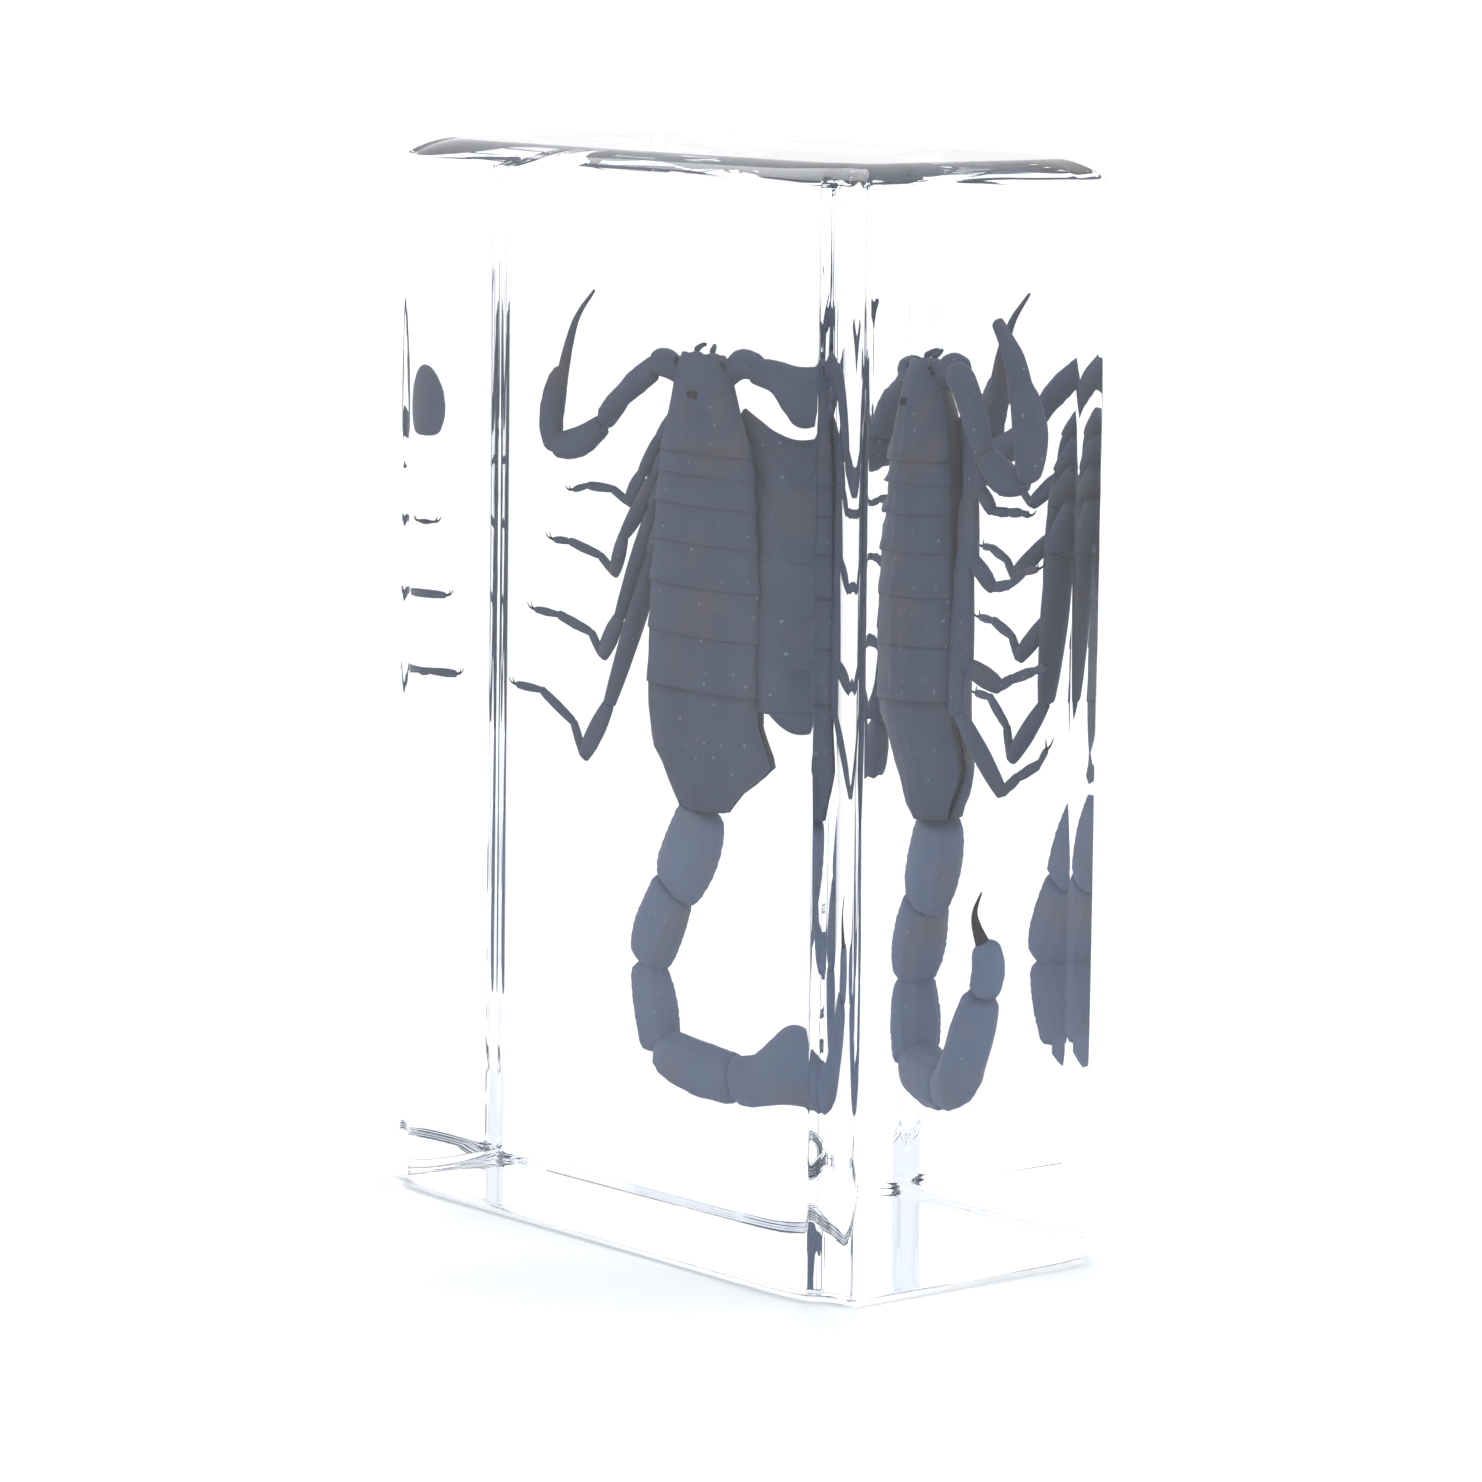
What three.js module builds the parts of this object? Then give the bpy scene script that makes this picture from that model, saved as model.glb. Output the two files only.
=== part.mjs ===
// Desk specimen block: one cast and polished block of clear resin, standing on its small end.
// Millimetres, +Z up. The origin is the middle of the base, on the surface that the block stands on.
// The wide show face looks along -Y, and the narrow sides look along -X and +X.
//
// The show face was ground and polished flat after casting, so its two upright edges are crisp.
// The back came out of the mould. Its left corner is plainly round. On the right the narrow side leans in a
// little, ends at an edge, and a long curve leads from there to the flat of the back.
import * as THREE from "three";

// Driving dimensions
const WIDTH = 50.8; // along X, across the show face
const DEPTH = 27.9; // along Y, from the show face to the back
const HEIGHT = 75.0; // along Z
const SHOW_EDGE_RADIUS = 1.85; // the upright edges beside the show face
const BACK_CORNER_RADIUS = 4.0; // the upright corner on the left of the back
const LEAN_FROM = 7.5; // on the right, how far before the back the narrow side starts to lean in
const LEAN_LENGTH = 2.6; // how far it leans
const LEAN_INWARD = 0.32; // and by how much
const BACK_CURVE_WIDTH = 12.5; // how far across the back the long curve reaches
const BACK_EDGE_ANGLE = (58 * Math.PI) / 180; // how far that curve is turned from the side where it starts
const RIM_RADIUS = 1.6; // the polished rounding round the top and the base

const EDGE_SEGMENTS = 12; // steps in each upright curve
const RIM_SEGMENTS = 6; // steps in the rounding of each rim

const QUARTER_TURN = Math.PI / 2;

// The block seen from above, going round from the left end of the show face.
function blockOutline() {
  const side = WIDTH / 2;
  const half = DEPTH / 2;
  const outline = new THREE.Shape();
  const roundCorner = (toX, toY, radius, start) => {
    outline.absarc(toX * (side - radius), toY * (half - radius), radius, start, start + QUARTER_TURN, false);
  };
  outline.moveTo(-(side - SHOW_EDGE_RADIUS), -half);
  roundCorner(1, -1, SHOW_EDGE_RADIUS, -QUARTER_TURN);
  outline.lineTo(side, half - LEAN_FROM);
  const edgeX = side - LEAN_INWARD;
  const beforeBack = LEAN_FROM - LEAN_LENGTH;
  outline.lineTo(edgeX, half - beforeBack);
  const kneeX = edgeX - beforeBack * Math.tan(BACK_EDGE_ANGLE);
  outline.quadraticCurveTo(kneeX, half, side - BACK_CURVE_WIDTH, half);
  roundCorner(-1, 1, BACK_CORNER_RADIUS, QUARTER_TURN);
  roundCorner(-1, -1, SHOW_EDGE_RADIUS, 2 * QUARTER_TURN);
  outline.closePath();
  return outline;
}

function makeResinBlock() {
  const geometry = new THREE.ExtrudeGeometry(blockOutline(), {
    depth: HEIGHT - 2 * RIM_RADIUS,
    curveSegments: EDGE_SEGMENTS,
    bevelEnabled: true,
    bevelThickness: RIM_RADIUS,
    bevelSize: RIM_RADIUS,
    bevelOffset: -RIM_RADIUS,
    bevelSegments: RIM_SEGMENTS,
  });
  const clearResin = new THREE.MeshStandardMaterial({
    color: 0xf3f6fb,
    roughness: 0.03,
    metalness: 0,
    transparent: true,
    opacity: 0.35,
  });
  const block = new THREE.Mesh(geometry, clearResin);
  block.name = "resin_block";
  block.position.z = RIM_RADIUS; // the lower rim's rounding reaches down from here to the base
  return block;
}

const specimenBlock = new THREE.Group();
specimenBlock.add(makeResinBlock());

export default specimenBlock;
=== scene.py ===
"""A dried scorpion cast in a polished block of clear resin, standing on its small end."""
import math

import bpy
from mathutils import Matrix, Vector, noise


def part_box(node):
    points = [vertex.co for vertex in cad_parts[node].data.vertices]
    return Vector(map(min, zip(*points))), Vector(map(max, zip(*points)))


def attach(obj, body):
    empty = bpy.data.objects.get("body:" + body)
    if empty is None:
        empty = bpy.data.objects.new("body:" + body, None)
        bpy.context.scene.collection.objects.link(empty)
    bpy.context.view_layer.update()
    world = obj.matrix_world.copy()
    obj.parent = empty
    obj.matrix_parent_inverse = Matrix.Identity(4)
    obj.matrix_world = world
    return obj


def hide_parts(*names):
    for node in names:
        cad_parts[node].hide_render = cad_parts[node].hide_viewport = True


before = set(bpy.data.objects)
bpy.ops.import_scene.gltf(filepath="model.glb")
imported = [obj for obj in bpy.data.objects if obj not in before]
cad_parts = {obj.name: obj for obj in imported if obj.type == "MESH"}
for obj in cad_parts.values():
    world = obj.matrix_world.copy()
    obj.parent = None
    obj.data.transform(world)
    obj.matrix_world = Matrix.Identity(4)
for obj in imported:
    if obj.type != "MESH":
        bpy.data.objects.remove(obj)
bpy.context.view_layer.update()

MM = 0.001  # every length below is in millimetres, turned to metres as a mesh is made
BLOCK_LOW, BLOCK_HIGH = (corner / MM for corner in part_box("resin_block"))
WIDTH = BLOCK_HIGH.x - BLOCK_LOW.x
DEPTH = BLOCK_HIGH.y - BLOCK_LOW.y
HEIGHT = BLOCK_HIGH.z - BLOCK_LOW.z
SHOW_FACE_Y = BLOCK_LOW.y
BACK_Y = BLOCK_HIGH.y


def inside(x, behind, z):
    """A point in the block: right of its middle, behind the show face, and above its base."""
    return Vector((x, SHOW_FACE_Y + behind, z))


# ---------------------------------------------------------------------------------------------
# Helpers
# ---------------------------------------------------------------------------------------------


def linear(hex_colour):
    """An sRGB hex colour as the linear colour with alpha that a shader socket takes."""
    channels = [int(hex_colour[i:i + 2], 16) / 255 for i in (1, 3, 5)]
    return [c / 12.92 if c <= 0.04045 else ((c + 0.055) / 1.055) ** 2.4 for c in channels] + [1.0]


def put(tree, kind, settings=None, values=None, links=None):
    """Adds a node with its settings, its socket values, and its links as {socket: (node, output)}."""
    node = tree.nodes.new(kind)
    for name, value in (settings or {}).items():
        setattr(node, name, value)
    for socket, value in (values or {}).items():
        node.inputs[socket].default_value = value
    for socket, (source, output) in (links or {}).items():
        tree.links.new(source.outputs[output], node.inputs[socket])
    return node


def new_material(name):
    material = bpy.data.materials.new(name)
    material.use_nodes = True
    material.node_tree.nodes.clear()
    return material


def mix(a, b, t):
    return a + (b - a) * t


def ease(low, high, value):
    """0 below low, 1 above high, and a smooth step between."""
    t = min(max((value - low) / (high - low), 0.0), 1.0)
    return t * t * (3 - 2 * t)


def between(stations, z):
    """Linear values at z from stations [(z, value, ...), ...] listed from the top down."""
    if z >= stations[0][0]:
        return stations[0][1:]
    for upper, lower in zip(stations, stations[1:]):
        if z >= lower[0]:
            t = (upper[0] - z) / (upper[0] - lower[0])
            return tuple(mix(a, b, t) for a, b in zip(upper[1:], lower[1:]))
    return stations[-1][1:]


def grain(point, pitch, seed=0.0):
    """Smooth noise from -1 to 1 whose bumps are about pitch millimetres apart."""
    return noise.noise(Vector(point) / pitch + Vector((seed, 3.1 * seed, 7.7 * seed)))


def make_piece(name, points, faces, material):
    """A mesh object from points in millimetres; it rides on the block's body."""
    mesh = bpy.data.meshes.new(name)
    mesh.from_pydata([Vector(p) * MM for p in points], [], faces)
    mesh.validate()
    mesh.materials.append(material)
    mesh.shade_smooth()
    piece = bpy.data.objects.new(name, mesh)
    bpy.context.scene.collection.objects.link(piece)
    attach(piece, "root")
    return piece


def skin_rings(rings, first_pole, last_pole):
    """Points and outward faces of a closed tube: equal rings of points between two poles."""
    count = len(rings[0])
    points = [first_pole] + [p for ring in rings for p in ring] + [last_pole]
    faces = []
    for i in range(count):
        j = (i + 1) % count
        faces.append((0, 1 + j, 1 + i))
        for r in range(len(rings) - 1):
            low = 1 + r * count
            faces.append((low + i, low + j, low + count + j, low + count + i))
        last = 1 + (len(rings) - 1) * count
        faces.append((last + i, last + j, len(points) - 1))
    return points, faces


class Shells:
    """Collects closed shells that become one mesh object."""

    def __init__(self):
        self.points = []
        self.faces = []

    def add(self, points, faces):
        start = len(self.points)
        self.points += points
        self.faces += [tuple(start + i for i in face) for face in faces]

    def finish(self, name, material):
        return make_piece(name, self.points, self.faces, material)


def spline(path, t):
    """A point on the smooth curve through the path's points, for t from 0 to 1."""
    spans = len(path) - 1
    at = min(max(t, 0.0), 1.0) * spans
    i = min(int(at), spans - 1)
    f = at - i
    p1, p2 = path[i], path[i + 1]
    p0 = path[i - 1] if i > 0 else 2 * p1 - p2
    p3 = path[i + 2] if i + 2 <= spans else 2 * p2 - p1
    return 0.5 * ((2 * p1) + (p2 - p0) * f + (2 * p0 - 5 * p1 + 4 * p2 - p3) * f * f
                  + (3 * p1 - p0 - 3 * p2 + p3) * f ** 3)


KEEL_BEAD_PITCH = 0.45
GRANULE_PITCH = 0.5


def limb_shell(path, width, across, thick=1.0, keels=(), round_end=0.35, steps=14, sides=16, rough=0.03,
               seed=0.0):
    """A closed, rounded-ended limb segment.

    width(t) is the half-width at t along the path, across the direction `across` and thick times that
    the other way. keels are (degrees round the section, height, degrees wide) ridges with beaded crests.
    """
    path = [Vector(p) for p in path]
    length = sum((spline(path, (i + 1) / 20) - spline(path, i / 20)).length for i in range(20))
    cap = min(round_end / length, 0.45)
    ends = [cap * (1 - math.cos(math.pi * k / 8)) for k in (1, 2, 3)]
    middle = [mix(cap, 1 - cap, k / (steps - 1)) for k in range(steps)]
    stations = ends + middle + [1 - t for t in reversed(ends)]
    rings = []
    for t in stations:
        centre = spline(path, t)
        along = (spline(path, min(t + 0.02, 1)) - spline(path, max(t - 0.02, 0))).normalized()
        side = Vector(across) - along * along.dot(Vector(across))
        side.normalize()
        up = along.cross(side)
        edge = min(t, 1 - t) / cap
        shrink = math.sqrt(max(1 - (1 - edge) ** 2, 0.0)) if edge < 1 else 1.0
        half = width(t) * shrink
        ring = []
        for k in range(sides):
            angle = 2 * math.pi * k / sides
            bump = 0.0
            for degrees, height, spread in keels:
                off = (math.degrees(angle) - degrees + 180) % 360 - 180
                beads = 0.75 + 0.25 * math.cos(2 * math.pi * t * length / KEEL_BEAD_PITCH)
                bump += height * beads * math.exp(-(off / spread) ** 2)
            direction = side * math.cos(angle) + up * (math.sin(angle) * thick)
            point = centre + direction * half + (direction.normalized() * bump * shrink)
            point += direction.normalized() * (grain(point, GRANULE_PITCH, seed) * rough * shrink)
            ring.append(point)
        rings.append(ring)
    return skin_rings(rings, spline(path, 0), spline(path, 1))


# ---------------------------------------------------------------------------------------------
# Camera, stage and light
# ---------------------------------------------------------------------------------------------

CAMERA_AT = Vector((317.1, -263.85, 92.4))
CAMERA_YAW = math.radians(50.37)  # from looking straight at the show face, round to the +X side
CAMERA_DOWN = math.radians(8.10)
CAMERA_ROLL = math.radians(0.68)
CAMERA_LENS = 144.95
CAMERA_FILM = 36.0  # width

FLOOR_REACH = 1500
FLOOR_DROP = 0.2  # the floor lies this far under the block, so their faces don't coincide

SWEEP_STRENGTH = 1.19
SWEEP_COLOUR = "#FFFFFF"
ROOM_COLOUR = "#DCE2EC"
ROOM_DIRECTION = (0.60, -0.78, 0.15)
SOFT_BOX_WATTS = 1.5
SOFT_BOX_SIZE = 0.6  # metres across
SOFT_BOXES = [("soft_box_left", (-0.7, 0.3, 0.9)), ("soft_box_right", (0.5, 0.7, 1.0))]  # places in metres


def make_camera():
    data = bpy.data.cameras.new("camera")
    data.lens = CAMERA_LENS
    data.sensor_width = CAMERA_FILM
    data.clip_start = 0.01
    data.clip_end = 20
    camera = bpy.data.objects.new("camera", data)
    bpy.context.scene.collection.objects.link(camera)
    level = Vector((math.cos(CAMERA_YAW), math.sin(CAMERA_YAW), 0))
    forward = Vector((-math.sin(CAMERA_YAW) * math.cos(CAMERA_DOWN),
                      math.cos(CAMERA_YAW) * math.cos(CAMERA_DOWN), -math.sin(CAMERA_DOWN)))
    upward = level.cross(forward)
    right = level * math.cos(CAMERA_ROLL) + upward * math.sin(CAMERA_ROLL)
    up = upward * math.cos(CAMERA_ROLL) - level * math.sin(CAMERA_ROLL)
    turn = Matrix((right, up, -forward)).transposed().to_4x4()
    camera.matrix_world = Matrix.Translation(CAMERA_AT * MM) @ turn
    bpy.context.scene.camera = camera


def make_stage():
    """Matt white card for the floor, flat and even, reaching past every view."""
    card = new_material("white_card_matt")
    tree = card.node_tree
    surface = put(tree, "ShaderNodeBsdfPrincipled",
                  values={"Base Color": linear("#F6F7F8"), "Roughness": 0.9, "Specular IOR Level": 0.2})
    put(tree, "ShaderNodeOutputMaterial", links={"Surface": (surface, "BSDF")})
    reach = FLOOR_REACH * MM
    mesh = bpy.data.meshes.new("floor")
    mesh.from_pydata([(-reach, -reach, 0), (reach, -reach, 0), (reach, reach, 0), (-reach, reach, 0)], [],
                     [(0, 1, 2, 3)])
    mesh.materials.append(card)
    floor = bpy.data.objects.new("floor", mesh)
    floor.location.z = -FLOOR_DROP * MM
    bpy.context.scene.collection.objects.link(floor)


def make_light():
    """A white sweep behind and above, a dimmer, cooler room in front, and two soft boxes."""
    world = bpy.data.worlds.new("white_sweep_and_room")
    bpy.context.scene.world = world
    world.use_nodes = True
    tree = world.node_tree
    tree.nodes.clear()
    direction = put(tree, "ShaderNodeTexCoord")
    toward_room = put(tree, "ShaderNodeVectorMath", settings={"operation": "DOT_PRODUCT"},
                      values={1: ROOM_DIRECTION}, links={0: (direction, "Generated")})
    room = put(tree, "ShaderNodeMapRange", settings={"interpolation_type": "SMOOTHSTEP"},
               values={"From Min": 0.15, "From Max": 0.85}, links={"Value": (toward_room, "Value")})
    colour = put(tree, "ShaderNodeMix", settings={"data_type": "RGBA"},
                 values={"A": linear(SWEEP_COLOUR), "B": linear(ROOM_COLOUR)},
                 links={"Factor": (room, "Result")})
    glow = put(tree, "ShaderNodeBackground", values={"Strength": SWEEP_STRENGTH},
               links={"Color": (colour, "Result")})
    put(tree, "ShaderNodeOutputWorld", links={"Surface": (glow, "Background")})
    for name, place in SOFT_BOXES:
        data = bpy.data.lights.new(name, "AREA")
        data.shape = "DISK"
        data.size = SOFT_BOX_SIZE
        data.energy = SOFT_BOX_WATTS
        lamp = bpy.data.objects.new(name, data)
        bpy.context.scene.collection.objects.link(lamp)
        lamp.location = place
        lamp.rotation_euler = Vector(place).to_track_quat("Z", "Y").to_euler()


def set_light_paths():
    """Room for light to cross the block, turn back inside it and leave again."""
    cycles = bpy.context.scene.cycles
    cycles.max_bounces = 48
    cycles.transmission_bounces = 40
    cycles.glossy_bounces = 32
    cycles.diffuse_bounces = 5
    cycles.caustics_refractive = True
    cycles.caustics_reflective = True
    cycles.blur_glossy = 0.0
    cycles.sample_clamp_indirect = 8.0
    bpy.context.scene.view_settings.view_transform = "Standard"


# ---------------------------------------------------------------------------------------------
# Materials
# ---------------------------------------------------------------------------------------------


RESIN_IOR = 1.555  # assumed: usual for a polyester casting resin
CLOUD_SIZE = 2.5  # soft changes of shade on the cuticle
WORN_PATCH_SIZE = 5.0
FLECK_SPACING = 1.3
FLECK_EDGE, FLECK_CORE = 0.11, 0.05  # shares of that spacing where a fleck ends and where it is fullest
FLECK_STRENGTH = 0.45
GRAIN_HEIGHT = 0.04


def clear_resin():
    """Casting resin, cured clear and buffed: it bends what is behind it and is bright only at its edges."""
    material = new_material("casting_resin_polished")
    tree = material.node_tree
    surface = put(tree, "ShaderNodeBsdfPrincipled",
                  values={"Base Color": linear("#FFFFFF"), "Roughness": 0.0, "IOR": RESIN_IOR,
                          "Transmission Weight": 1.0})
    depths = put(tree, "ShaderNodeVolumeAbsorption", values={"Color": linear("#F4FAFF"), "Density": 1.5})
    put(tree, "ShaderNodeOutputMaterial", links={"Surface": (surface, "BSDF"), "Volume": (depths, "Volume")})
    return material


def cuticle(name, dark, light, warm, grain_mm):
    """Dried scorpion cuticle wetted by resin: satin and granular, with warm worn patches and pale flecks.

    Its colours are lifted from brown-black to slate, as dark cuticle looks inside a brightly lit block.
    """
    material = new_material(name)
    tree = material.node_tree
    place = put(tree, "ShaderNodeTexCoord")
    grains = put(tree, "ShaderNodeTexNoise", values={"Scale": 1 / (grain_mm * MM), "Detail": 3.0},
                 links={"Vector": (place, "Object")})
    clouds = put(tree, "ShaderNodeTexNoise", values={"Scale": 1 / (CLOUD_SIZE * MM), "Detail": 4.0},
                 links={"Vector": (place, "Object")})
    patches = put(tree, "ShaderNodeTexNoise", values={"Scale": 1 / (WORN_PATCH_SIZE * MM), "Detail": 2.0},
                  links={"Vector": (place, "Object")})
    shade = put(tree, "ShaderNodeMix", settings={"data_type": "RGBA"},
                values={"A": linear(dark), "B": linear(light)}, links={"Factor": (clouds, "Fac")})
    warmth = put(tree, "ShaderNodeMapRange", values={"From Min": 0.55, "From Max": 0.75, "To Max": 0.5},
                 links={"Value": (patches, "Fac")})
    warmed = put(tree, "ShaderNodeMix", settings={"data_type": "RGBA"}, values={"B": linear(warm)},
                 links={"Factor": (warmth, "Result"), "A": (shade, "Result")})
    flecks = put(tree, "ShaderNodeTexVoronoi", values={"Scale": 1 / (FLECK_SPACING * MM)},
                 links={"Vector": (place, "Object")})
    fleck = put(tree, "ShaderNodeMapRange",
                values={"From Min": FLECK_EDGE, "From Max": FLECK_CORE, "To Max": FLECK_STRENGTH},
                links={"Value": (flecks, "Distance")})
    flecked = put(tree, "ShaderNodeMix", settings={"data_type": "RGBA"}, values={"B": linear("#9AA0A8")},
                  links={"Factor": (fleck, "Result"), "A": (warmed, "Result")})
    bump = put(tree, "ShaderNodeBump", values={"Strength": 0.2, "Distance": GRAIN_HEIGHT * MM},
               links={"Height": (grains, "Fac")})
    surface = put(tree, "ShaderNodeBsdfPrincipled", values={"Roughness": 0.5, "IOR": 1.1},
                  links={"Base Color": (flecked, "Result"), "Normal": (bump, "Normal")})
    put(tree, "ShaderNodeOutputMaterial", links={"Surface": (surface, "BSDF")})
    return material


# ---------------------------------------------------------------------------------------------
# The block
# ---------------------------------------------------------------------------------------------

BACK_CORNER_RADIUS = 4.0  # the plain round corner on the left of the back
# On the right the last of the narrow side leans in, ends at an edge, and a long curve leads to the back.
BACK_CURVE_WIDTH = 12.5  # how far across the back that curve reaches
LEAN_FROM = 7.5  # distance before the back where the side starts to lean in
LEAN_LENGTH = 2.9
LEAN_ANGLE = math.radians(7)
BACK_EDGE_ANGLE = math.radians(58)  # how far the face has turned just after that edge
BACK_EDGE_RADIUS = 0.4
TOP_RIM = 1.5  # height of the polished bevel round the top
TOP_RIM_WIDTH = 2.8  # and how far in it reaches
TOP_RIM_FLATNESS = 1 / 0.72  # over 1 draws the round flatter, towards a bevel
BASE_RIM = 0.7  # the smaller rounding round the base
# The show face was buffed by hand, so it rolls over beside its upright edges, more and more steeply.
ROLL_OVER_FROM = 9.3  # distance from the narrow side where that begins
ROLL_OVER_RATE = 0.0704  # its slope in degrees is this times the cube of the distance rolled
ROLL_OVER_TO = 3.2  # where a step drops to the shallow hollow beside the edge
STEP_WIDTH = 0.12
STEP_ANGLE = math.radians(50)
HOLLOW_TO = 0.8  # the hollow levels out again by here, where the crisp corner begins
CORNER_DEPTH = 0.55  # from there to where the narrow side begins
SIDE_ROLL = 2.4  # length of the last slight roll on the narrow side
SIDE_ROLL_ANGLE = math.radians(2.5)
BUFF_MARK = 0.006  # height of the long buffing marks along the corner
BUFF_MARK_WIDTH = 0.45
BUFF_MARK_LENGTH = 26
BUFFED_FROM, BUFFED_FULL = 3.4, 2.8  # the marks fade in over these distances from the narrow side
BUFFED_BACK_FULL, BUFFED_BACK_END = 3.0, 4.5  # and out over these behind the show face
TRUE_BASE = 4.0  # waves and marks fade out over this height towards the base
WAVE = 0.02  # height of the slow waves that polishing leaves on every wall
WAVE_WIDTH = 14
WAVE_LENGTH = 22


def roll_over_profile():
    """Points (in from the side, behind the show face) from the flat of the face round to the side."""
    slopes = []  # (in from the side, slope), down to the crisp corner
    roll_steps = 32
    for k in range(roll_steps + 1):
        inward = mix(ROLL_OVER_FROM, ROLL_OVER_TO, k / roll_steps)
        slopes.append((inward, math.radians(ROLL_OVER_RATE * (ROLL_OVER_FROM - inward) ** 3)))
    roll_end = slopes[-1][1]
    slopes += [(ROLL_OVER_TO - STEP_WIDTH * t, mix(roll_end, STEP_ANGLE, t)) for t in (0.33, 0.67, 1.0)]
    hollow_steps = 24
    for k in range(1, hollow_steps + 1):
        t = k / hollow_steps
        slopes.append((mix(ROLL_OVER_TO - STEP_WIDTH, HOLLOW_TO, t), STEP_ANGLE * (1 - t)))
    points = [(ROLL_OVER_FROM, 0.0)]
    for (before, slope_before), (inward, slope) in zip(slopes, slopes[1:]):
        fall = math.tan((slope_before + slope) / 2) * (before - inward)
        points.append((inward, points[-1][1] + fall))
    # a quadratic curve round the corner, tangent to the face and to the side's own slight roll
    start = Vector(points[-1])
    side_in = SIDE_ROLL * math.tan(SIDE_ROLL_ANGLE) / 2
    end = Vector((side_in, start.y + CORNER_DEPTH))
    knee = Vector((side_in + CORNER_DEPTH * math.tan(SIDE_ROLL_ANGLE), start.y))
    corner_steps = 20
    for k in range(1, corner_steps + 1):
        t = k / corner_steps
        points.append(tuple(start * (1 - t) ** 2 + knee * (2 * t * (1 - t)) + end * t * t))
    side_steps = 10
    for k in range(1, side_steps + 1):
        t = k / side_steps
        points.append((side_in * (1 - t) ** 2, end.y + SIDE_ROLL * t))
    return points


def round_back_corner():
    """Points (in from the side, before the back) round the plain corner on the left of the back."""
    steps = 40
    angles = [math.pi / 2 * k / steps for k in range(steps + 1)]
    return [(BACK_CORNER_RADIUS * (1 - math.cos(a)), BACK_CORNER_RADIUS * (1 - math.sin(a))) for a in angles]


def leaning_back_corner():
    """The same for the right: the leaning strip, its edge, and the long curve to the flat of the back."""
    lean = LEAN_LENGTH * math.tan(LEAN_ANGLE)
    points = [(0.0, LEAN_FROM + 0.1), (lean * 0.02, LEAN_FROM - 0.1)]
    points += [(lean * t, LEAN_FROM - LEAN_LENGTH * t) for t in (0.1, 0.3, 0.5, 0.7, 0.88)]
    inward, ahead = points[-1]
    turn_steps = 10
    for k in range(1, turn_steps + 1):
        angle = mix(LEAN_ANGLE, BACK_EDGE_ANGLE, (k - 0.5) / turn_steps)
        step = BACK_EDGE_RADIUS * (BACK_EDGE_ANGLE - LEAN_ANGLE) / turn_steps
        inward += step * math.sin(angle)
        ahead -= step * math.cos(angle)
        points.append((inward, ahead))
    knee = inward + ahead * math.tan(BACK_EDGE_ANGLE)
    curve_steps = 24
    for k in range(1, curve_steps + 1):
        t = k / curve_steps
        points.append((inward * (1 - t) ** 2 + knee * 2 * t * (1 - t) + BACK_CURVE_WIDTH * t * t,
                       ahead * (1 - t) ** 2))
    return points


def half_outline(back_corner):
    """One half of the block from above, from the middle of the show face out and round to the back."""
    side = WIDTH / 2
    corner = roll_over_profile()
    face_steps = 10
    flat_edge = side - corner[0][0]
    half = [(flat_edge * k / face_steps, SHOW_FACE_Y) for k in range(face_steps)]
    half += [(side - inward, SHOW_FACE_Y + behind) for inward, behind in corner]
    side_start = half[-1][1]
    side_end = BACK_Y - back_corner[0][1]
    side_steps = 8
    half += [(side, mix(side_start, side_end, k / side_steps)) for k in range(1, side_steps)]
    half += [(side - inward, BACK_Y - ahead) for inward, ahead in back_corner]
    back_edge = half[-1][0]
    half += [(back_edge * (1 - k / face_steps), BACK_Y) for k in range(1, face_steps)]
    return half


def block_outline():
    """The block from above, anticlockwise, starting at the middle of the show face."""
    right = half_outline(leaning_back_corner())
    left = half_outline(round_back_corner())
    return right + [(0.0, BACK_Y)] + [(-x, y) for x, y in reversed(left[1:])]


def outward_normals(outline):
    count = len(outline)
    normals = []
    for i in range(count):
        along = (Vector(outline[(i + 1) % count]) - Vector(outline[i - 1])).normalized()
        normals.append((along.y, -along.x))
    return normals


def unevenness(x, y, z, near_corner):
    """How far a wall stands out from true: hand polishing leaves slow waves and long buffing marks."""
    slow = WAVE * noise.noise(Vector((x / WAVE_WIDTH, y / WAVE_WIDTH, z / WAVE_LENGTH + 5)))
    marks = BUFF_MARK * noise.noise(Vector((x / BUFF_MARK_WIDTH, y / BUFF_MARK_WIDTH, z / BUFF_MARK_LENGTH)))
    return slow + marks * near_corner


def drawn_in(x, y, inward):
    """A point of the outline scaled inward, by that distance at each face, so that corners never cross."""
    return x * (1 - inward / (WIDTH / 2)), y * (1 - inward / (DEPTH / 2))


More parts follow.
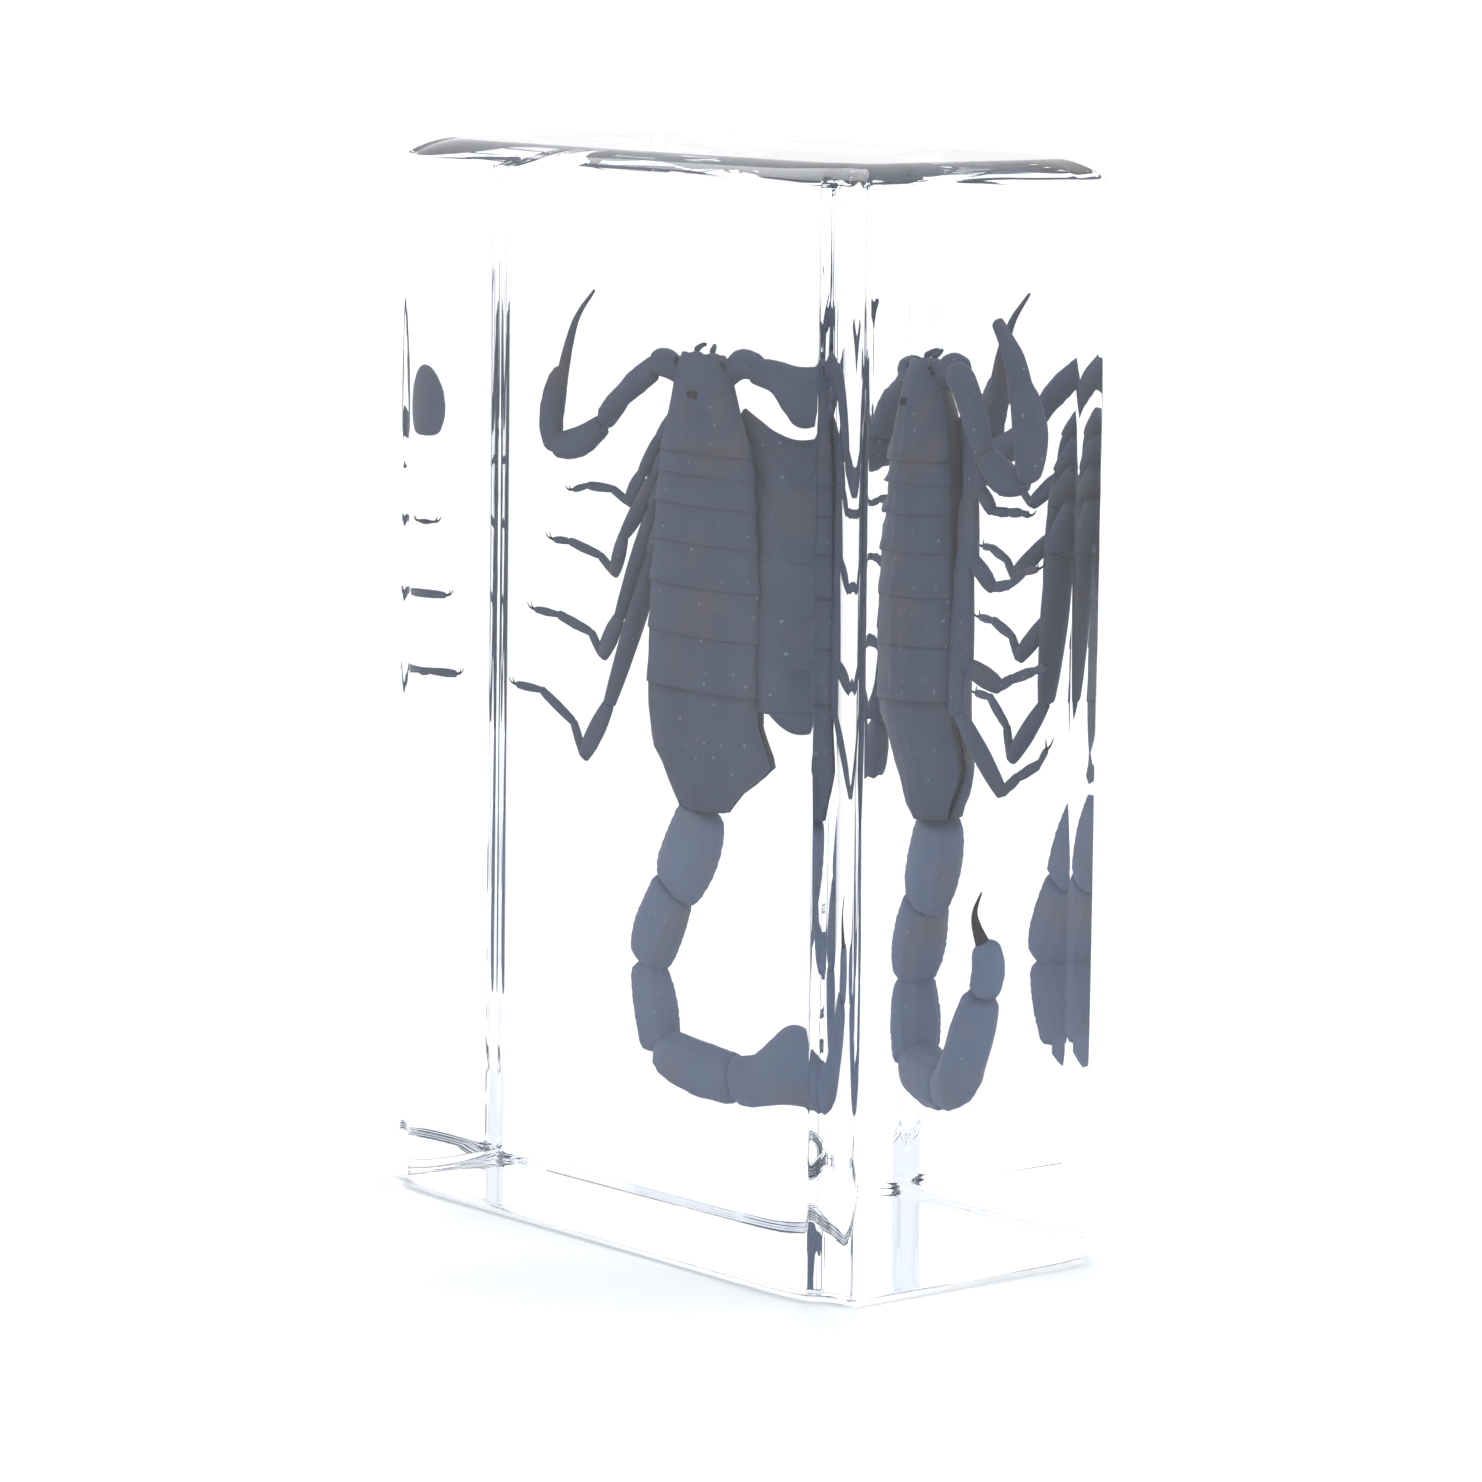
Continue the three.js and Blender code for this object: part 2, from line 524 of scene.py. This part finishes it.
def make_block(resin):
    """The outline stacked in rings from the base to the top, and drawn in at both rims."""
    outline = block_outline()
    normals = outward_normals(outline)
    side = WIDTH / 2
    rim_steps = 12
    rim_angles = [math.pi / 2 * k / rim_steps for k in range(rim_steps)]
    # height above the base, distance drawn in
    levels = [(BASE_RIM * (1 - math.cos(a)), BASE_RIM * (1 - math.sin(a))) for a in rim_angles]
    wall_steps = 110
    levels += [(mix(BASE_RIM, HEIGHT - TOP_RIM, k / wall_steps), 0.0) for k in range(wall_steps + 1)]
    for a in reversed(rim_angles):
        drop = TOP_RIM * (1 - math.cos(a) ** TOP_RIM_FLATNESS)
        levels.append((HEIGHT - drop, TOP_RIM_WIDTH * (1 - math.sin(a) ** TOP_RIM_FLATNESS)))
    rings = []
    for z, inward in levels:
        ring = []
        for (x, y), (out_x, out_y) in zip(outline, normals):
            beside_edge = ease(side - BUFFED_FROM, side - BUFFED_FULL, abs(x))
            near_corner = beside_edge * ease(-BUFFED_BACK_END, -BUFFED_BACK_FULL, SHOW_FACE_Y - y)
            out = unevenness(x, y, z, near_corner) * ease(0.0, TRUE_BASE, z)
            in_x, in_y = drawn_in(x, y, inward)
            ring.append(Vector((in_x + out_x * out, in_y + out_y * out, z)))
        rings.append(ring)
    # each end is closed by rings drawn in towards the middle
    fractions = (0.995, 0.97, 0.9, 0.8, 0.65, 0.5, 0.35, 0.15)
    bottom, top = rings[0], rings[-1]
    under = [[Vector((p.x * f, p.y * f, p.z)) for p in bottom] for f in reversed(fractions)]
    over = [[Vector((p.x * f, p.y * f, p.z)) for p in top] for f in fractions]
    points, faces = skin_rings(under + rings + over, Vector((0, 0, 0)), Vector((0, 0, HEIGHT)))
    block = make_piece("resin_block_polished", points, faces, resin)
    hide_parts("resin_block")


# ---------------------------------------------------------------------------------------------
# The scorpion. It lies head up, its back to the show face.
# Its body is measured along z from the block's base; u runs to the right across it and v to its belly.
# ---------------------------------------------------------------------------------------------

ROLL = math.radians(-5)  # the specimen lies turned by this much about the upright axis
ACROSS = Vector((math.cos(ROLL), math.sin(ROLL), 0))
BELLY = Vector((-math.sin(ROLL), math.cos(ROLL), 0))
# z, x, behind the show face
BODY_LINE = [(61.0, 0.1, 19.3), (54.0, 0.8, 19.1), (44.0, 0.75, 19.1), (36.0, 0.5, 19.3), (33.2, 1.25, 19.57),
             (32.0, 1.1, 19.88), (30.8, 0.2, 20.37), (29.6, 0.1, 20.4), (28.8, -0.2, 20.8)]
# z, half-width, back height, belly depth
BODY_SECTIONS = [(61.0, 2.3, 1.4, 1.4), (60.0, 2.9, 1.9, 1.9), (58.0, 3.5, 2.4, 2.4), (56.0, 4.2, 2.6, 2.6),
                 (54.0, 5.0, 2.8, 2.7), (50.0, 5.5, 2.9, 2.8), (45.0, 5.95, 3.0, 2.9), (39.0, 6.1, 3.0, 2.9),
                 (36.0, 6.0, 2.8, 2.8), (33.3, 6.5, 2.4, 2.4), (32.0, 5.15, 2.4, 2.4), (30.8, 3.7, 2.3, 2.3),
                 (29.6, 2.5, 1.8, 1.8), (28.8, 1.9, 1.7, 1.7)]
BACK_PLATE_EDGES = [54.3, 52.7, 50.6, 48.0, 45.0, 41.6, 37.8, 29.3]  # z
BELLY_PLATE_EDGES = [50.2, 46.6, 43.2, 39.8, 36.0, 29.3]
PLATE_OVERLAP = 0.2
PLATE_THICKNESS = 0.35
PLATE_PROUD = 0.06  # how far a plate stands out of the core before its lip
KEEL_WIDTH = 0.22
CARAPACE_KEELS = [(-0.9, 0.14), (0.9, 0.14), (-2.4, 0.1), (2.4, 0.1)]  # u, height
BACK_KEELS = [(0.0, 0.16), (-1.7, 0.1), (1.7, 0.1)]
EYES = [(0.33, -2.35, 58.2, 0.3), (2.55, -1.1, 60.5, 0.16), (2.75, -1.0, 60.2, 0.15)]  # u, v, z, radius


def at_body(u, v, z):
    x, behind = between(BODY_LINE, z)
    return inside(x, behind, z) + ACROSS * u + BELLY * v


def body_shell(z_high, z_low, shrink):
    """The soft core of the body between two heights."""
    steps = 26
    sides = 32
    rings = []
    for k in range(steps):
        t = (k + 0.5) / steps
        z = mix(z_high, z_low, t)
        half, back, belly = between(BODY_SECTIONS, z)
        end = math.sqrt(max(1 - (2 * t - 1) ** 8, 0.0))
        ring = []
        for s in range(sides):
            angle = 2 * math.pi * s / sides
            u = math.sin(angle) * (half - shrink) * end
            rise = math.cos(angle)
            v = (-rise * (back - shrink) if rise > 0 else -rise * (belly - shrink)) * end
            ring.append(at_body(u, v, z))
        rings.append(ring)
    return skin_rings(rings, at_body(0, 0, z_high), at_body(0, 0, z_low))


def plate_shell(z_high, z_low, back_side, keels=(), reach=88.0, lip=0.16, seed=0.0):
    """One curved plate over the back or the belly. Its lower rim stands proud of the next plate."""
    rows = 9
    columns = 28
    outer, inner = [], []
    for r in range(rows + 1):
        t = r / rows
        z = mix(z_high, z_low, t)
        half, back, belly = between(BODY_SECTIONS, z)
        height = back if back_side else belly
        sign = -1 if back_side else 1
        rise = PLATE_PROUD + lip * ease(0.55, 1.0, t)
        for c in range(columns + 1):
            angle = math.radians(mix(-reach, reach, c / columns))
            u, lift = math.sin(angle), math.cos(angle)
            flat = abs(lift) ** 0.85 * (1 if lift > 0 else -1)
            spot = (u * half, flat * height, z)
            bumps = rise + 0.035 * grain(spot, 0.45, seed) + 0.03 * grain(spot, 1.4, seed + 2)
            for keel_u, keel_height in keels:
                crest = math.exp(-((u * half - keel_u) / KEEL_WIDTH) ** 2)
                bumps += keel_height * crest * ease(0.05, 0.5, t)
            outer.append(at_body(u * (half + bumps), sign * flat * (height + bumps), z))
            inner.append(at_body(u * (half - PLATE_THICKNESS), sign * flat * (height - PLATE_THICKNESS), z))
    wide = columns + 1
    faces = []
    shift = len(outer)
    for r in range(rows):
        for c in range(columns):
            a, b = r * wide + c, r * wide + c + 1
            quad = (a, b, b + wide, a + wide)
            faces.append(quad if not back_side else quad[::-1])
            under = tuple(shift + i for i in quad)
            faces.append(under[::-1] if not back_side else under)
    rim = list(range(wide)) + [r * wide + columns for r in range(1, rows + 1)]
    rim += [rows * wide + c for c in range(columns - 1, -1, -1)] + [r * wide for r in range(rows - 1, 0, -1)]
    for i, j in zip(rim, rim[1:] + rim[:1]):
        strip = (i, shift + i, shift + j, j)
        faces.append(strip if not back_side else strip[::-1])
    return outer + inner, faces


def make_trunk(shell, skin, hard):
    """Soft core, carapace, seven back plates, five belly plates, jaws and eyes."""
    points, faces = body_shell(60.6, 29.0, 0.3)
    make_piece("body_membrane", points, faces, skin)
    points, faces = plate_shell(61.0, 54.2, True, CARAPACE_KEELS, seed=1.0)
    make_piece("carapace", points, faces, shell)
    for i, (z_high, z_low) in enumerate(zip(BACK_PLATE_EDGES, BACK_PLATE_EDGES[1:])):
        points, faces = plate_shell(z_high + PLATE_OVERLAP, z_low, True, BACK_KEELS, seed=2.0 + i)
        make_piece(f"back_plate_{i + 1}", points, faces, shell)
    for i, (z_high, z_low) in enumerate(zip(BELLY_PLATE_EDGES, BELLY_PLATE_EDGES[1:])):
        points, faces = plate_shell(z_high + PLATE_OVERLAP, z_low, False, reach=80, lip=0.1, seed=12.0 + i)
        make_piece(f"belly_plate_{i + 1}", points, faces, shell)
    for side, label in ((-1, "left"), (1, "right")):
        jaw = Shells()
        root = at_body(side * 0.95, -0.2, 59.8)
        tip = at_body(side * 0.95, -0.3, 61.1)
        jaw.add(*limb_shell([root, tip], lambda t: 0.85, ACROSS, 0.9, seed=20 + side))
        finger = [tip, at_body(side * 0.7, 0.5, 61.5), at_body(side * 0.35, 0.8, 61.6)]
        jaw.add(*limb_shell(finger, lambda t: mix(0.32, 0.1, t), ACROSS, 0.9, round_end=0.2,
                            steps=6, sides=10))
        jaw.finish(f"jaw_{label}", shell)
    eyes = Shells()
    for side in (-1, 1):
        for u, v, z, size in EYES:
            centre = at_body(side * u, v, z)
            eyes.add(*limb_shell([centre - Vector((0, 0, size)), centre + Vector((0, 0, size))],
                                 lambda t, size=size: size, ACROSS, 1.0, round_end=size * 0.95,
                                 steps=3, sides=12, rough=0.0))
    eyes.finish("eyes", hard)


def barrel(middle, ends, lean=0.55, fullness=0.7, last=None):
    """Half-width of a segment that swells between its joints, whose ends may differ."""
    def width(t):
        swell = math.sin(math.pi * min(max(t, 0), 1) ** (math.log(0.5) / math.log(lean)))
        return mix(ends if last is None else mix(ends, last, t), middle, max(swell, 0.0) ** fullness)
    return width


TAIL_JOINTS = [inside(*p) for p in ((-0.25, 20.9, 29.3), (-3.7, 21.3, 23.2), (-6.8, 21.6, 17.5),
                                    (-4.8, 21.0, 11.6), (4.2, 19.9, 10.9), (12.4, 18.97, 17.8))]
# for each segment: half-width and thickness ratio, how narrow its two ends are, how far its middle bows out
TAIL_WIDTHS = [(2.65, 0.8), (2.25, 0.95), (2.1, 0.95), (1.95, 1.0), (1.85, 1.0)]
TAIL_NECKS = [(0.65, 0.72), (0.78, 0.55), (0.6, 0.75), (0.75, 0.82), (0.85, 0.72)]
TAIL_BOWS = [(0.3, 0, 0), (0, 0, 0), (0.2, 0, 0), (0, 0, -0.25), (0.6, -0.75, -2.1)]
TAIL_KEELS = [(degrees, 0.16, 9) for degrees in (35, 62, 118, 145, 200, 235, 305, 340)]
TAIL_OVERLAP = 0.25
VENOM_BULB = [(12.4, 18.97, 17.6), (12.9, 19.27, 19.7), (12.8, 18.87, 21.8)]
STING = [(12.8, 18.97, 21.1), (12.8, 18.17, 22.8), (12.9, 17.97, 23.9), (13.1, 18.47, 25.2)]


def make_tail(shell, hard):
    """Five ring segments with beaded keels, then the venom bulb and its sting."""
    # shell here is the tail's cuticle, its colours painted lighter to stand for light from the floor
    for i, (start, end) in enumerate(zip(TAIL_JOINTS, TAIL_JOINTS[1:])):
        half, thick = TAIL_WIDTHS[i]
        along = (end - start).normalized()
        middle = (start + end) / 2 + Vector(TAIL_BOWS[i])
        path = [start - along * TAIL_OVERLAP, middle, end + along * TAIL_OVERLAP]
        first, last = TAIL_NECKS[i]
        outline = barrel(half, half * first, 0.55, 0.5, half * last)
        points, faces = limb_shell(path, outline, BELLY.cross(along), thick, TAIL_KEELS,
                                   round_end=0.7, steps=22, sides=56, rough=0.06, seed=30 + i)
        make_piece(f"tail_segment_{i + 1}", points, faces, shell)
    points, faces = limb_shell([inside(*p) for p in VENOM_BULB], barrel(1.4, 1.0, 0.42), ACROSS,
                               round_end=0.8, steps=14, sides=28, rough=0.05, seed=40)
    make_piece("venom_bulb", points, faces, shell)
    points, faces = limb_shell([inside(*p) for p in STING], lambda t: mix(0.75, 0.07, t ** 0.6), ACROSS,
                               round_end=0.25, steps=18, sides=16, rough=0.0)
    make_piece("sting", points, faces, hard)


CLAW_ARMS = {
    "left": {"shoulder": [(-2.4, 19.6, 59.3), (-4.1, 19.7, 60.0), (-5.9, 20.0, 60.0)],
             "upper": [(-5.5, 20.0, 59.8), (-9.2, 20.6, 57.7), (-12.2, 21.2, 55.3)],
             "fore": [(-12.0, 21.3, 55.2), (-15.1, 21.9, 53.7), (-18.2, 22.3, 53.1)],
             "hand": [(-18.3, 22.4, 52.7), (-18.6, 22.3, 55.0), (-17.9, 22.0, 57.3), (-17.1, 21.8, 58.8)],
             "finger": [(-17.5, 22.2, 57.6), (-16.6, 22.1, 60.4), (-15.4, 21.8, 62.6), (-13.2, 21.3, 64.6)]},
    "right": {"shoulder": [(2.3, 19.3, 59.4), (4.0, 19.3, 60.5), (6.3, 19.2, 60.3)],
              "upper": [(5.4, 18.8, 60.2), (8.9, 18.2, 59.4), (10.9, 19.3, 54.5)],
              "fore": [(10.5, 19.2, 54.9), (12.8, 20.1, 53.3), (15.3, 20.7, 53.2)],
              "hand": [(15.6, 20.8, 53.1), (16.7, 20.5, 56.0), (16.5, 20.1, 58.4), (15.9, 19.9, 60.0)],
              "finger": [(16.2, 20.0, 58.4), (15.2, 19.7, 61.2), (14.2, 19.4, 62.6), (12.8, 19.1, 64.0)]},
}
CLAW_ARM_WIDTHS = {"left": {"upper": 0.95, "hand": 1.25, "finger": 0.5, "tip": 0.12},
                   "right": {"upper": 1.15, "hand": 1.45, "finger": 0.85, "tip": 0.5}}  # half-widths
CLAW_ARM_KEELS = [(degrees, 0.1, 12) for degrees in (40, 140, 220, 320)]


def make_claw_arm(label, shell):
    """Shoulder, upper arm, forearm, hand, and the two fingers of the claw, held closed."""
    arm = CLAW_ARMS[label]
    widths = CLAW_ARM_WIDTHS[label]
    parts = [("shoulder", barrel(1.15, 0.8), 0.9), ("upper", barrel(widths["upper"], 0.8), 0.9),
             ("fore", barrel(1.3, 0.85), 0.85), ("hand", barrel(widths["hand"], 0.55, 0.4), 0.9)]
    for n, (part, width, thick) in enumerate(parts):
        across = BELLY.cross(Vector((0.6, 0, -0.8))) if part == "upper" else BELLY
        points, faces = limb_shell([inside(*p) for p in arm[part]], width, across, thick, CLAW_ARM_KEELS,
                                   round_end=0.5, steps=18, sides=28, rough=0.05, seed=50 + n)
        make_piece(f"claw_arm_{label}_{part}", points, faces, shell)
    fingers = Shells()
    for offset in (-0.3, 0.3):
        path = [inside(*p) + BELLY * offset * (1 - k / 3) for k, p in enumerate(arm["finger"])]
        fingers.add(*limb_shell(path, lambda t: mix(widths["finger"], widths["tip"], t ** 0.8), BELLY, 0.95,
                                round_end=0.25, steps=20, sides=14, rough=0.02, seed=60))
    fingers.finish(f"claw_{label}_fingers", shell)


# Walking legs, front pair first: each has seven points from hip to tip, so six segments
LEGS = {
    "left_1": [(-3.4, 20.6, 56.6), (-5.3, 21.0, 54.7), (-7.3, 20.5, 52.1), (-9.9, 22.4, 49.8),
               (-11.7, 22.4, 50.6), (-14.4, 22.3, 50.6), (-15.9, 22.2, 50.2)],
    "left_2": [(-3.8, 20.7, 54.6), (-5.8, 21.3, 52.2), (-9.2, 20.5, 47.6), (-11.8, 23.1, 44.6),
               (-13.3, 23.0, 45.7), (-16.7, 22.9, 46.4), (-18.4, 22.8, 46.4)],
    "left_3": [(-4.1, 20.8, 52.4), (-6.1, 21.5, 50.0), (-9.6, 20.5, 41.8), (-12.5, 22.2, 38.7),
               (-13.8, 22.2, 40.2), (-17.5, 22.2, 41.1), (-20.1, 22.2, 41.2)],
    "left_4": [(-4.3, 20.9, 50.0), (-6.2, 21.5, 46.6), (-10.6, 20.4, 35.5), (-14.3, 21.9, 31.3),
               (-15.4, 21.8, 33.6), (-19.0, 21.7, 35.5), (-21.8, 21.6, 35.6)],
    "right_1": [(3.6, 20.6, 56.3), (7.9, 19.8, 54.5), (9.2, 19.5, 52.6), (10.5, 20.1, 51.0),
                (12.8, 20.4, 51.0), (15.3, 20.4, 51.1), (17.0, 20.3, 51.0)],
    "right_2": [(4.4, 20.6, 54.6), (7.2, 19.6, 53.4), (8.8, 19.1, 47.8), (12.0, 19.5, 45.9),
                (14.4, 19.9, 46.2), (17.4, 19.8, 47.2), (19.6, 19.9, 47.5)],
    "right_3": [(4.8, 20.6, 52.4), (7.0, 19.3, 50.4), (8.8, 18.7, 40.5), (13.2, 19.7, 39.2),
                (15.3, 19.8, 39.8), (18.6, 20.2, 40.5), (20.6, 20.2, 40.9)],
    "right_4": [(5.0, 20.6, 50.0), (7.0, 19.1, 47.0), (7.95, 18.3, 37.5), (14.4, 19.5, 32.0),
                (16.0, 20.2, 33.1), (18.8, 20.7, 34.1), (20.5, 20.6, 35.2)],
}
LEG_WIDTHS = [(0.85, 0.7), (0.85, 0.6), (0.8, 0.5), (0.42, 0.35), (0.4, 0.3), (0.3, 0.2)]  # middle, ends
LEG_SIZES = {"1": 0.85, "2": 0.92, "3": 1.0, "4": 1.05}  # the front pair is the smallest
LEG_THICKNESS = 0.75
LEG_OVERLAP = 0.15
# The two segments nearest the body are broad and lie flat on the right, and stand on edge on the left.
RIGHT_MIDDLE, RIGHT_ENDS = 1.6, 1.9  # times LEG_WIDTHS
RIGHT_THICKNESS, RIGHT_OVERLAP = 0.45, 0.6
LEFT_MIDDLE = 0.95  # times LEG_WIDTHS
LEFT_THICKNESS = (1.8, 1.5)  # of the first and the second segment
LEFT_KNEE = (1.0, 0.75)  # width of their lower end against the upper one


def make_leg(label, shell, hard):
    """Six overlapping segments from hip to tip, and the two small claws there."""
    joints = [inside(*p) for p in LEGS[label]]
    size = LEG_SIZES[label[-1]]
    leg = Shells()
    for n, (start, end) in enumerate(zip(joints, joints[1:])):
        middle, ends = LEG_WIDTHS[n]
        thick, overlap, knee, fullest = LEG_THICKNESS, LEG_OVERLAP, 1.0, 0.55
        if n < 2 and label.startswith("right"):
            middle, ends = middle * RIGHT_MIDDLE, ends * RIGHT_ENDS
            thick, overlap = RIGHT_THICKNESS, RIGHT_OVERLAP
        elif n < 2:
            middle, thick, knee = middle * LEFT_MIDDLE, LEFT_THICKNESS[n], LEFT_KNEE[n]
            if knee < 1:
                fullest = 0.3
        along = (end - start).normalized()
        outline = barrel(middle * size, ends * size, fullest, 0.7, ends * size * knee)
        leg.add(*limb_shell([start - along * overlap, end + along * overlap], outline,
                            BELLY.cross(along) + BELLY * 0.01, thick,
                            round_end=0.3, steps=9, sides=14, rough=0.04, seed=70 + n))
    leg.finish(f"leg_{label}", shell)
    claws = Shells()
    tip, before = joints[-1], joints[-2]
    forward = (tip - before).normalized()
    for spread in (-1, 1):
        path = [tip, tip + forward * 0.5 + Vector((0, 0, 0.1)) + BELLY * 0.2 * spread,
                tip + forward * 0.75 + Vector((0, 0, 0.45)) + BELLY * 0.35 * spread]
        claws.add(*limb_shell(path, lambda t: mix(0.12, 0.03, t), BELLY, round_end=0.08, steps=5,
                              sides=8, rough=0.0))
    claws.finish(f"leg_{label}_claws", hard)


def make_scorpion():
    """The whole animal, in four kinds of cuticle: plates, a tail painted lighter (painted light from the
    floor), soft skin, and hard dark tips.
    """
    shell = cuticle("scorpion_cuticle_granular", "#40475A", "#4F5769", "#645146", 0.4)
    # painted light: the tail segments and venom bulb are coloured lighter and bluer than the plates, standing
    # for the extra light from the floor on the lower body
    tail_cuticle_painted_lighter = cuticle("scorpion_tail_cuticle_granular_painted_lighter", "#57637B", "#68758C", "#736053", 0.4)
    skin = cuticle("scorpion_membrane_dried", "#424349", "#545253", "#5F5248", 0.25)
    hard = cuticle("scorpion_sting_and_claw", "#262327", "#322E34", "#3C2F28", 0.4)
    make_trunk(shell, skin, hard)
    make_tail(tail_cuticle_painted_lighter, hard)
    for label in CLAW_ARMS:
        make_claw_arm(label, shell)
    for label in LEGS:
        make_leg(label, shell, hard)


make_camera()
make_stage()
make_light()
set_light_paths()
make_block(clear_resin())
make_scorpion()
